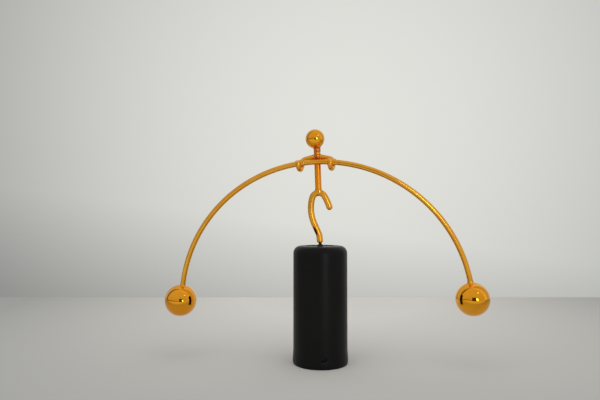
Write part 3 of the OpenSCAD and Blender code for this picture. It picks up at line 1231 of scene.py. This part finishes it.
@dataclass(frozen=True)
class Pole:
    """Bowed balancing pole with a ball at each end."""

    hip: Vector
    wire_d: float
    pole_d: float = 3.0
    pole_r: float = 82.9
    pole_top: float = 46.05
    pole_shift: float = 0.2
    half_angle: float = 86.8
    ball_d: float = 18.4
    ball_grip: float = 6.0
    left_ball_out: float = 0.9
    push_gap: float = 0.05
    braze_gap: float = 0.03
    collar_reach: float = 0.85
    collar_h: float = 1.5

    def centre(self) -> Vector:
        """Middle of the pole's curve."""
        y = self.hip.y - (self.wire_d + self.pole_d) / 2 - self.braze_gap
        return Vector((self.pole_shift, y, self.pole_top - self.pole_r))

    def turn_of(self, length: float) -> float:
        """Angle of a length along the pole, in degrees."""
        return math.degrees(length / self.pole_r)

    def at(self, angle: float) -> Vector:
        """Point on the pole's middle line, at an angle from its middle to the right."""
        way = Vector((math.sin(math.radians(angle)), 0, math.cos(math.radians(angle))))
        return self.centre() + way * self.pole_r

    def along(self, angle: float) -> Matrix:
        """Place on the pole, with +Y along the pole to the right and +X to the curve's middle."""
        return Matrix.Translation(self.at(angle)) @ turned(90, "X") @ turned(-90 - angle, "Z")

    def free_angle(self) -> float:
        """Angle at which the pole enters the balls."""
        return self.half_angle - self.turn_of(self.ball_d / 2)

    def ball_centre(self, side: Side) -> Vector:
        """Middle of a ball."""
        out = Vector((self.left_ball_out, 0, 0)) if side is Side.LEFT else Vector()
        return self.at(side.value * self.half_angle) - out

    def build(self, wardrobe: Wardrobe, stance: Matrix) -> None:
        """Builds the pole, the balls and their brazed collars.

        Args:
            wardrobe: The finishes.
            stance: Place of the figure.
        """
        end = self.half_angle - self.turn_of(self.ball_d / 2 - self.ball_grip)
        mesh = bmesh.new()
        bench = WireBench(mesh, self.along(-end), self.pole_d / 2)
        bench.bend(Bend(self.pole_r, -2 * end))
        bench.cap(bench.rim)
        bench.cap(bench.root)
        wardrobe.finish("gilt_bow_rod", mesh, stance, "bow_rod", Look.WIRE)
        for side in Side:
            self.build_ball(side, wardrobe, stance)
            self.build_collar(side, wardrobe, stance)

    def build_ball(self, side: Side, wardrobe: Wardrobe, stance: Matrix) -> None:
        """Builds a ball with the curved hole that the pole is pushed into.

        Args:
            side: Which ball.
            wardrobe: The finishes.
            stance: Place of the figure.
        """
        mesh = bmesh.new()
        hole_r = self.pole_d / 2 + self.push_gap
        mouth = self.at(side.value * self.free_angle())
        rim = holed_ball(mesh, self.ball_centre(side), self.ball_d / 2 - HAIR, mouth, hole_r)
        depth = self.turn_of(self.ball_grip + self.push_gap)
        deep = sweep(mesh, rim, self.centre(), Vector((0, 1, 0)), side.value * depth, steps=6)
        bmesh.ops.edgeloop_fill(mesh, edges=deep)
        wardrobe.finish(f"gilt_{side.word}_ball", mesh, stance, f"{side.word}_ball", Look.BALL)

    def build_collar(self, side: Side, wardrobe: Wardrobe, stance: Matrix) -> None:
        """Builds the lumpy collar where the pole enters a ball.

        Args:
            side: Which ball.
            wardrobe: The finishes.
            stance: Place of the figure.
        """
        place = self.along(side.value * self.free_angle()) @ turned(side.value * 90, "X")
        ball_skin = skin_of(self.ball_d / 2, place.inverted() @ self.ball_centre(side))
        mesh = bmesh.new()
        collar = Fillet(self.pole_d / 2, self.collar_reach, self.collar_h)
        collar.shape(mesh, ball_skin, seed=4.3 + 2.9 * side.value)
        name, node = f"brazed_{side.word}_ball", f"{side.word}_ball_braze"
        wardrobe.finish(name, mesh, stance @ place, node, Look.COLLAR)


@dataclass(frozen=True)
class Torso:
    """Spine and head, with the brazed neck and shoulders."""

    hip: Vector
    legs: Legs
    arm_z: float
    wire_d: float = 3.6
    spine_h: float = 27.5
    head_d: float = 10.7
    head_grip: float = 2.4
    head_shift: float = -0.9
    push_gap: float = 0.05
    lump_r: float = 2.3
    lump_h: float = 2.1
    lump_stretch: float = 1.15
    neck_lap: float = 0.3
    neck_reach: float = 0.7

    def head_floor(self) -> float:
        """Height at which the spine enters the head."""
        return self.hip.z + self.spine_h - self.head_grip

    def head(self) -> Vector:
        """Middle of the head."""
        rise = math.sqrt((self.head_d / 2) ** 2 - self.head_shift**2)
        return Vector((self.hip.x + self.head_shift, self.hip.y, self.head_floor() + rise))

    def build(self, wardrobe: Wardrobe, stance: Matrix) -> None:
        """Builds the spine, head, neck and shoulders.

        Args:
            wardrobe: The finishes.
            stance: Place of the figure.
        """
        self.build_spine(wardrobe, stance)
        mesh = bmesh.new()
        entry = Vector((self.hip.x, self.hip.y, self.head_floor()))
        gap = 2 * self.push_gap
        rim = holed_ball(mesh, self.head(), self.head_d / 2 - HAIR, entry, self.wire_d / 2 + gap)
        deep = push_out(mesh, rim, Vector((0, 0, self.head_grip + gap)))[0]
        bmesh.ops.edgeloop_fill(mesh, edges=deep)
        wardrobe.finish("gilt_head_ball", mesh, stance, "head_ball", Look.BALL)

        mesh = bmesh.new()
        upside_down = Matrix.Translation(entry) @ turned(180, "X")
        neck_h = self.head_floor() - self.arm_z - self.lump_h + self.neck_lap
        neck = Fillet(self.wire_d / 2, self.neck_reach, neck_h, lump=0.12, lump_size=1.1)
        neck.shape(mesh, skin_of(self.head_d / 2, upside_down.inverted() @ self.head()), seed=8.1)
        wardrobe.finish("brazed_neck", mesh, stance @ upside_down, "neck_braze", Look.BRAZE)

        mesh = bmesh.new()
        middle = moved(self.hip.x, self.hip.y, self.arm_z)
        size = Matrix.Diagonal((self.lump_r, self.lump_r, self.lump_h * self.lump_stretch, 1))
        bmesh.ops.create_icosphere(mesh, subdivisions=5, radius=1, matrix=size)
        roughen(mesh, depth=0.16, size=1.3, seed=2.4)
        wardrobe.finish("brazed_shoulders", mesh, stance @ middle, "shoulder_braze", Look.BRAZE)

    def build_spine(self, wardrobe: Wardrobe, stance: Matrix) -> None:
        """Builds the spine, with its foot notched to sit on the hip.

        Args:
            wardrobe: The finishes.
            stance: Place of the figure.
        """
        mesh = bmesh.new()
        foot_z = self.hip.z + self.wire_d / 2
        place = moved(self.hip.x, self.hip.y, foot_z) @ turned(90, "X")
        bench = WireBench(mesh, place, self.wire_d / 2)
        bench.draw(self.hip.z + self.spine_h - foot_z)
        bench.cap(bench.rim)
        for v in verts_of(bench.root):
            v.co.z = self.hip.z + self.legs.saddle(v.co.x - self.hip.x, v.co.y - self.hip.y) + HAIR
        bench.cap(bench.root)
        wardrobe.finish("gilt_spine_rod", mesh, stance, "spine_rod", Look.SPINE)


@dataclass(frozen=True)
class Arms:
    """Two wires that run out from the spine and hook under the pole, brazed to it."""

    pole: Pole
    arm_d: float = 2.8
    arm_reach: float = 8.8
    wrist_r: float = 2.5
    arm_droop: float = 14.0
    finger_h: float = 0.4
    hook_turn: float = 13.0
    running_gap: float = 0.05
    braze_t: float = 0.5
    braze_w: float = 4.6
    braze_edge: float = 0.2

    def hook_r(self) -> float:
        """Radius of the hooked finger's middle line."""
        across = math.cos(math.radians(self.hook_turn))
        return (self.arm_d + self.pole.pole_d) / 2 / across + 2 * self.running_gap

    def start(self) -> float:
        """Distance of the arm's root from the spine's middle line."""
        return self.pole.wire_d / 4

    def run(self) -> float:
        """Length of the arm's straight part."""
        droop = math.radians(self.arm_droop)
        return (self.arm_reach - self.start() - self.wrist_r * (1 - math.sin(droop))) / math.cos(droop)

    def root(self) -> Vector:
        """Middle of both arms' roots, in the spine's line.

        Returns:
            The point.
        """
        hip, pole = self.pole.hip, self.pole
        hand = math.degrees(math.asin((self.arm_reach - pole.pole_shift + hip.x) / pole.pole_r))
        droop = math.radians(self.arm_droop)
        drop = self.run() * math.sin(droop) + self.wrist_r * math.cos(droop)
        height = pole.at(hand).z - self.finger_h + drop
        behind = self.hook_r() * math.cos(math.radians(self.hook_turn))
        return Vector((hip.x, pole.centre().y + behind, height))

    def build(self, wardrobe: Wardrobe, stance: Matrix) -> None:
        """Builds both arms and the filler metal in both hands.

        Args:
            wardrobe: The finishes.
            stance: Place of the figure.
        """
        for side in Side:
            path: Path = (
                Straight(self.run()),
                Bend(self.wrist_r, self.arm_droop - 90, 90 + side.value * self.hook_turn),
                Bend(self.hook_r(), 180),
                Straight(self.finger_h),
            )
            mesh = bmesh.new()
            bench = WireBench(mesh, Matrix(), self.arm_d / 2)
            bench.follow(path)
            bench.dome(self.arm_d / 2)
            bench.cap(bench.root)
            flip = Matrix.Diagonal((side.value, 1, 1, 1))
            reach = turned(90, "X") @ moved(self.start(), 0, 0) @ turned(-90 - self.arm_droop, "Z")
            place = stance @ Matrix.Translation(self.root()) @ flip @ reach
            name, node = f"gilt_{side.word}_arm", f"{side.word}_arm"
            wardrobe.finish(name, mesh, place, node, Look.WIRE)
            self.build_hand(side, wardrobe, stance)

    def build_hand(self, side: Side, wardrobe: Wardrobe, stance: Matrix) -> None:
        """Builds the filler metal between a hand and the pole.

        Args:
            side: Which hand.
            wardrobe: The finishes.
            stance: Place of the figure.
        """
        pole = self.pole
        aside = self.hook_r() * math.sin(math.radians(self.hook_turn))
        across = side.value * self.arm_reach + pole.hip.x - aside - pole.pole_shift
        middle = math.degrees(math.asin(across / pole.pole_r))
        half = pole.turn_of(self.braze_w / 2)
        outer_r = pole.pole_d / 2 + self.braze_t
        mesh = bmesh.new()
        inner_r = pole.pole_d / 2 - HAIR
        bench = WireBench(mesh, pole.along(middle - half), inner_r)
        bench.draw(0, outer_r)
        bench.bend(Bend(pole.pole_r, -2 * half))
        bench.draw(0, inner_r)
        bmesh.ops.bridge_loops(mesh, edges=bench.root + bench.rim)
        sharp = [e for e in mesh.edges if e.calc_face_angle(0) > SMOOTH_ANGLE]
        round_edges(mesh, sharp, self.braze_edge, segments=3)
        roughen(mesh, depth=0.1, size=0.9, seed=5.2 + side.value)
        name, node = f"brazed_{side.word}_hand", f"{side.word}_hand_braze"
        wardrobe.finish(name, mesh, stance, node, Look.COLLAR)


# The studio


@dataclass(frozen=True)
class Band:
    """Dark band with soft edges: its middle, half its width, and the brightness in it."""

    middle: float
    half: float
    dim: float
    core: float = 0.6

    def across(self, s: Shader, value: NodeSocket) -> NodeSocket:
        """Brightness in and outside the band, by a value that runs across it."""
        away = s.maths("ABSOLUTE", s.maths("SUBTRACT", value, self.middle))
        return s.spread(away, self.half * self.core, self.half, self.dim, 1)


@dataclass(frozen=True)
class Room:
    """Pale room that lights the scene, as a world that changes with direction.

    A heading is measured from the front, which is -Y, to the right. A fade goes from the first of
    two values to the second. The camera sees neither the upright bands nor the skirting, which the
    gold mirrors.
    """

    wall_glow: Way = (-0.038, 0.984, 0.174)
    wall_seen: Way = (-0.126, 0.992, 0)
    floor_tilt: Way = (0.13, 0, 1)
    wall_near: Colour = (0.759, 0.762, 0.722)
    wall_far: Colour = (0.354, 0.36, 0.345)
    ceiling: Colour = (0.62, 0.615, 0.59)
    front: Colour = (0.52, 0.515, 0.49)
    left: Colour = (0.59, 0.585, 0.565)
    right: Colour = (0.84, 0.83, 0.805)
    glow_fade: Span = (0.75, 1)
    ceiling_fade: Span = (-0.1, 0.6)
    side_fade: Span = (-0.6, 0.6)
    front_fade: Span = (-0.4, 0)
    seen_fade: Span = (0.68, 0.78)
    left_shade: Band = Band(math.radians(-97), math.radians(9), 0.2)
    right_shade: Band = Band(math.radians(116), math.radians(24), 0.62)
    skirting: Band = Band(0.0, 0.05, 0.25)
    skirting_back: Span = (-0.1, 0.05)
    skirting_right: Span = (-0.1, 0.1)
    # Painted shade low in the room, which darkens the wall where it meets the table
    floor_fade: Span = (-0.2, -0.03)
    floor_dim: float = 0.73

    def build(self) -> None:
        """Builds the world."""
        world = bpy.data.worlds.new("room")
        bpy.context.scene.world = world
        world.use_nodes = True
        s = Shader(world.node_tree)
        way = s.add("TexCoord").outputs["Generated"]
        light = self.light(s, way)
        shade = self.shade(s, way)
        dimmed = s.add("VectorMath", {0: light, "Scale": shade}, operation="SCALE")
        s.fill(world.node_tree.nodes["Background"], {"Color": dimmed.outputs[0]})

    def light(self, s: Shader, way: NodeSocket) -> NodeSocket:
        """Colour of the walls and the ceiling.

        Args:
            s: The world's shader.
            way: The direction.

        Returns:
            The colour.
        """
        x, y, z = s.parts(way)
        glow = s.spread(s.along(way, self.wall_glow), *self.glow_fade)
        wall = s.blend(glow, self.wall_far, self.wall_near)
        ahead = s.blend(s.spread(z, *self.ceiling_fade), self.front, self.ceiling)
        sides = s.blend(s.spread(x, *self.side_fade), self.left, self.right)
        room = s.blend(s.spread(y, *self.front_fade), ahead, sides)
        return s.blend(s.spread(s.along(way, self.wall_seen), *self.seen_fade), room, wall)

    def shade(self, s: Shader, way: NodeSocket) -> NodeSocket:
        """Brightness of the room: two dark bands upright, a skirting at eye height, and painted shade low
        in the room, which darkens the wall where it meets the table.

        Args:
            s: The world's shader.
            way: The direction.

        Returns:
            The brightness.
        """
        x, y, z = s.parts(way)
        heading = s.maths("ARCTAN2", x, s.maths("MULTIPLY", y, -1.0))
        left, right = self.left_shade.across(s, heading), self.right_shade.across(s, heading)
        upright = s.maths("MULTIPLY", left, right)
        clear = s.maths("MAXIMUM", s.spread(y, *self.skirting_back), s.spread(x, *self.skirting_right))
        skirting = s.maths("MAXIMUM", self.skirting.across(s, z), clear)
        seen = s.add("LightPath").outputs["Is Camera Ray"]
        shade = s.maths("MAXIMUM", s.maths("MULTIPLY", upright, skirting), seen)
        floor = s.spread(s.along(way, self.floor_tilt), *self.floor_fade, self.floor_dim, 1)
        return s.maths("MULTIPLY", shade, floor)


@dataclass(frozen=True)
class Light:
    """Soft oval light that faces the figurine.

    Its power is in watts, and its slant is a turn about the line to the figurine, in degrees.
    """

    name: str
    at: Way
    size: Span
    power: float
    slant: float = 0.0
    on_matt: bool = True
    in_gloss: bool = True
    target: Way = (0, 0, 70)

    def hang(self) -> None:
        """Hangs the light."""
        data = bpy.data.lights.new(self.name, "AREA")
        data.shape, data.energy = "ELLIPSE", self.power
        data.size, data.size_y = (s * MM for s in self.size)
        light = bpy.data.objects.new(self.name, data)
        light.location = Vector(self.at) * MM
        light.rotation_mode = "QUATERNION"
        facing = (Vector(self.target) - Vector(self.at)).to_track_quat("-Z", "Y")
        light.rotation_quaternion = facing @ turned(self.slant, "Z").to_quaternion()
        light.visible_camera = False
        light.visible_diffuse, light.visible_glossy = self.on_matt, self.in_gloss
        bpy.context.scene.collection.objects.link(light)


@dataclass(frozen=True)
class Studio:
    """Pale table, soft light and the camera at the photograph's place."""

    camera_at: Way = (25.1, -289.2, 81.8)
    looks_along: Way = (-0.1257, 0.9915, 0.0334)
    lens: float = 30.6
    sensor_w: float = 36.0
    clip: Span = (0.01, 20.0)
    body_at: Way = (70, -417, 85)
    body_size: Way = (170, 60, 160)
    body_black: Colour = (0.04, 0.04, 0.03)
    table_back: float = 233.0
    table_half: float = 1500.0
    # Painted light on the table: a pool of light round this spot that fades away from it, and a paler near
    # part seen only in the gold
    painted_light_spot: Way = (-10.3, 240.6, 0)
    painted_light_stretch: float = 1.3
    painted_light_fade: Span = (90, 300)
    painted_near_fade: Span = (-120, -70)
    table_painted_near: Colour = (0.8, 0.79, 0.765)
    table_painted_lit: Colour = (0.775, 0.763, 0.733)
    table_painted_dim: Colour = (0.45, 0.454, 0.445)
    table_roughness: float = 0.8
    lights: tuple[Light, ...] = (
        Light("window", (352, -740, 115), (90, 250), 0.72, slant=27, on_matt=False),
        Light("lamp", (350, -325, 472), (34, 34), 0.024, on_matt=False),
        Light("table_light", (0, -250, 600), (1000, 1000), 1.4, in_gloss=False),
    )

    def build(self) -> None:
        """Sets up the table, the light and the camera."""
        bpy.context.scene.view_settings.view_transform = "Standard"
        Room().build()
        self.build_camera()
        self.build_table()
        self.build_camera_body()
        for light in self.lights:
            light.hang()

    def turn(self) -> float:
        """Turn of the camera's view from straight to the back, in degrees."""
        return math.degrees(math.atan2(-self.looks_along[0], self.looks_along[1]))

    def build_camera(self) -> None:
        """Puts the camera where the photograph was taken."""
        data = bpy.data.cameras.new("camera")
        data.sensor_width, data.lens = self.sensor_w, self.lens
        data.clip_start, data.clip_end = self.clip
        camera = bpy.data.objects.new("camera", data)
        camera.location = Vector(self.camera_at) * MM
        camera.rotation_mode = "QUATERNION"
        camera.rotation_quaternion = Vector(self.looks_along).to_track_quat("-Z", "Y")
        bpy.context.scene.collection.objects.link(camera)
        bpy.context.scene.camera = camera

    def build_table(self) -> None:
        """Lays the pale table, whose back edge is the line behind the figurine."""
        mesh = bmesh.new()
        bmesh.ops.create_grid(mesh, x_segments=4, y_segments=4, size=self.table_half)
        place = turned(self.turn(), "Z") @ moved(0, self.table_back - self.table_half, 0)
        to_object("table", mesh, place, self.table_top())

    def table_top(self) -> Material:
        """Matt pale top with painted light: brightest behind the figurine and dimmer away from there, and a
        painted paler near part that only the gold mirrors.

        Returns:
            The material.
        """
        made, s, skin = new_material("pale_table")
        at, turn = Vector(self.painted_light_spot) * MM, (0, 0, math.radians(self.turn()))
        reach = s.reach(s.mapped("TEXTURE", at, turn, (1, self.painted_light_stretch, 1)))
        away = s.spread(reach, *(v * MM for v in self.painted_light_fade))
        # Painted light: the table's colour is lightest round the spot and darker away from it
        tone = s.blend(away, self.table_painted_lit, self.table_painted_dim)
        # Painted light seen only in the gold: the near part of the table is paler
        near = s.spread(s.parts(s.spot())[1], *(v * MM for v in self.painted_near_fade), 1, 0)
        unseen = s.spread(s.add("LightPath").outputs["Is Camera Ray"], 0, 1, 1, 0)
        colour = s.blend(s.maths("MULTIPLY", near, unseen), tone, self.table_painted_near)
        values = {"Base Color": colour, "Roughness": self.table_roughness, "Specular IOR Level": 0.0}
        s.fill(skin, values)
        return made

    def build_camera_body(self) -> None:
        """Stands the dark body of the camera behind its lens, seen only in the gold."""
        made, s, skin = new_material("camera_black")
        s.fill(skin, {"Base Color": self.body_black})
        mesh = bmesh.new()
        bmesh.ops.create_cube(mesh, size=1, matrix=Matrix.Diagonal((*self.body_size, 1)))
        body = to_object("camera_body", mesh, moved(*self.body_at), made)
        body.visible_camera = body.visible_diffuse = body.visible_shadow = False


def main() -> None:
    """Loads the frame, sets up the studio and builds the figurine."""
    logging.basicConfig(level=logging.INFO, format="%(name)s: %(message)s")
    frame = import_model()
    Studio().build()
    stance = Stance().place()
    legs = Legs()
    # The leg's finish gets the place of its painted reflection of the black base
    wardrobe = Wardrobe(Effects(), legs.painted_reflection(stance))
    Base().build(wardrobe, frame["nodes"])
    legs.build(wardrobe, stance)
    pole = Pole(legs.hip(), legs.wire_d)
    pole.build(wardrobe, stance)
    arms = Arms(pole)
    arms.build(wardrobe, stance)
    Torso(legs.hip(), legs, arms.root().z).build(wardrobe, stance)


if __name__ == "__main__":
    main()
